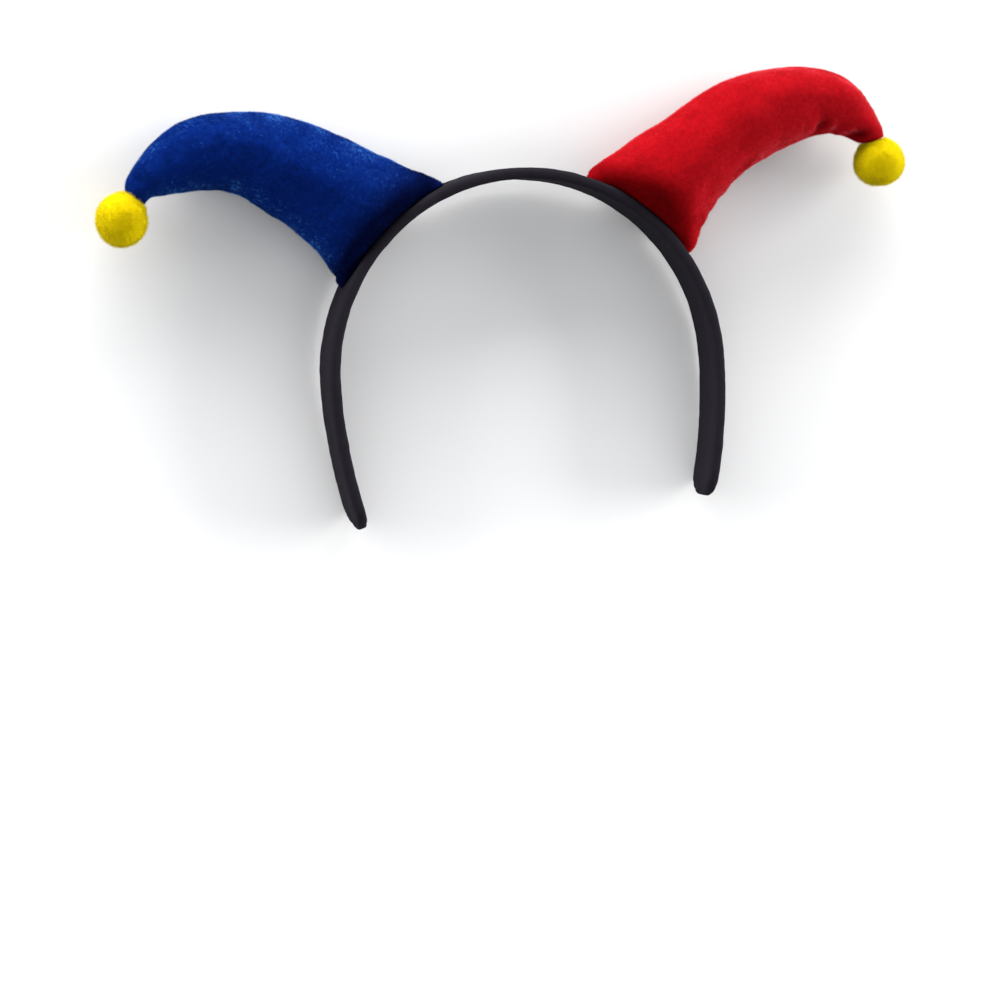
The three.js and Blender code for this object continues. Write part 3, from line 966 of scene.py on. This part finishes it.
def camera():
    """Looks at the headband as the photograph does."""
    focal = CAMERA_DISTANCE / MM / PHOTO_SCALE  # pixels
    yaw, pitch, roll = (math.radians(angle) for angle in (CAMERA_YAW, CAMERA_PITCH, CAMERA_ROLL))
    back = Vector((-math.sin(yaw) * math.cos(pitch), math.sin(pitch), math.cos(yaw) * math.cos(pitch)))
    upright = (Vector((0, 1, 0)) - back.y * back).normalized()
    level = upright.cross(back)
    right = math.cos(roll) * level - math.sin(roll) * upright
    up = math.sin(roll) * level + math.cos(roll) * upright
    aim = Matrix((right, up, back)).transposed()
    middle = PHOTO_SIDE / 2
    seen = Vector(((BAND_CENTRE_PIXEL[0] - middle) / focal, (middle - BAND_CENTRE_PIXEL[1]) / focal, -1))
    turned = (aim @ seen.normalized()).rotation_difference(-back).to_matrix() @ aim
    lean = Matrix.Rotation(LEAN, 3, "X")
    data = bpy.data.cameras.new("camera")
    data.sensor_width = SENSOR
    data.lens = focal * SENSOR / PHOTO_SIDE
    data.clip_end = 20
    view = bpy.data.objects.new("camera", data)
    place = lean @ back * CAMERA_DISTANCE + Vector(ORIGIN) * MM
    view.matrix_world = Matrix.Translation(place) @ (lean @ turned).to_4x4()
    bpy.context.scene.collection.objects.link(view)
    bpy.context.scene.camera = view


def area_light(name, place, width, height, watts):
    data = bpy.data.lights.new(name, "AREA")
    data.shape = "RECTANGLE"
    data.size = width
    data.size_y = height
    data.energy = watts
    light = bpy.data.objects.new(name, data)
    light.location = place
    light.rotation_euler = (-Vector(place)).to_track_quat("-Z", "Y").to_euler()
    bpy.context.scene.collection.objects.link(light)


def studio():
    """A plain pale floor, a large soft light from beyond the crown, one from each side, and a weak fill."""
    half = FLOOR_SIDE / 2
    corners = ((-half, -half), (half, -half), (half, half), (-half, half))
    mesh = bpy.data.meshes.new("floor")
    mesh.from_pydata([(x, y, -FLOOR_DROP) for x, y in corners], [], [(0, 1, 2, 3)])
    nodes = Nodes("pale_floor")
    nodes.set(Base_Color=colour(0.66, 0.66, 0.66), Roughness=0.85, Specular_IOR_Level=0.1)
    mesh.materials.append(nodes.material)
    floor = bpy.data.objects.new("floor", mesh)
    bpy.context.scene.collection.objects.link(floor)
    area_light("key", (-0.3, 3.6, 0.9), 7.0, 1.5, 480)
    area_light("left", (-3.5, 1.2, 0.9), 2.5, 1.4, 115)
    area_light("right", (3.5, 0.3, 0.9), 2.5, 1.4, 200)
    area_light("fill", (0.8, -3.0, 1.1), 4.5, 1.5, 32)
    world = bpy.data.worlds.new("studio")
    world.use_nodes = True
    world.node_tree.nodes["Background"].inputs["Color"].default_value = colour(0.97, 0.98, 1.0)
    world.node_tree.nodes["Background"].inputs["Strength"].default_value = 0.73
    bpy.context.scene.world = world
    bpy.context.scene.view_settings.view_transform = "Standard"


camera()
studio()
# Each plush's deep and lit tones are a shaded and a lit copy of its colour, for painted shade and painted
# light, then its sheen's tint and weight.
PLUSH_TONES = {
    "blue": (colour(0.0003, 0.002, 0.022), colour(0.0011, 0.0175, 0.177), colour(0.1, 0.4, 1.0), 0.75),
    "red": (colour(0.1, 0.0003, 0.001), colour(0.4, 0.0035, 0.008), colour(1.0, 0.2, 0.25), 0.45),
}
for horn in HORNS:
    tones = PLUSH_TONES[horn.name]
    backing = plush_material(f"{horn.name}_plush_backing", *tones[:3], 0.0, bumpy=True)
    pile_ends = plush_material(f"{horn.name}_plush_pile", *tones, bumpy=False)
    # The pile without sheen, for the painted shade next to the band.
    seat_shade_plush = plush_material(f"{horn.name}_plush_pressed", *tones[:3], 0.0, bumpy=False)
    horn_pieces(horn, backing, pile_ends, seat_shade_plush)
yellow = yarn_material()
for horn in HORNS:
    pompom_piece(horn, yellow)
band_piece(cloth_material())
